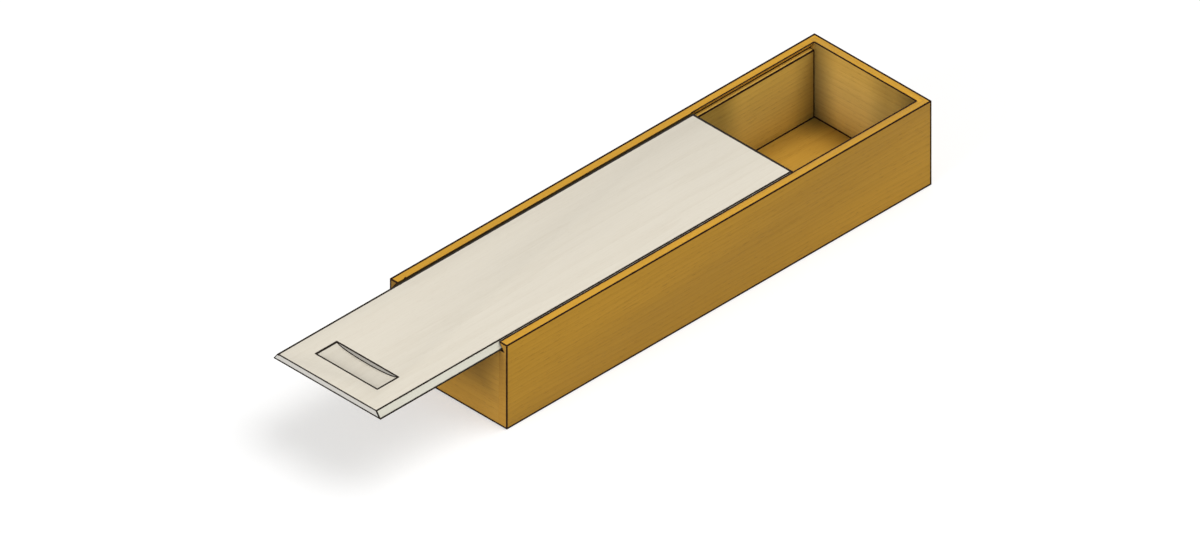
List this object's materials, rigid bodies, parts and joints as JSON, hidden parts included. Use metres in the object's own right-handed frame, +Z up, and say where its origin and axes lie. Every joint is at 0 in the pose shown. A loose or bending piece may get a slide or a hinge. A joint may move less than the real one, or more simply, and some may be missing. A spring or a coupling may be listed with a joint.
{
  "type": "sliding lid box",
  "caption": "Long narrow wooden box for pens or keepsakes, with a thin lid that slides in a dovetail groove and has a scooped finger pull.",
  "frame": {"origin": "centre of the box's underside, on the surface that it stands on", "axes": "+Z up, +Y along the box towards its back board, so that the lid is drawn out towards -Y, and +X to the right seen from the front"},
  "size_m": [0.058, 0.27, 0.036],
  "materials": {
    "box_wood": "satin",
    "lid_wood": "satin"
  },
  "bodies": {
    "box": {"left_side": "box_wood", "right_side": "box_wood", "front_end": "box_wood", "back_end": "box_wood", "bottom_panel": "box_wood"},
    "lid": {"sliding_lid": "lid_wood"}
  },
  "joints": [
    {"name": "lid_slide", "type": "slide", "parent": "box", "child": "lid", "axis": [0, -1, 0], "range_m": [-0.06, 0.1457]}
  ]
}
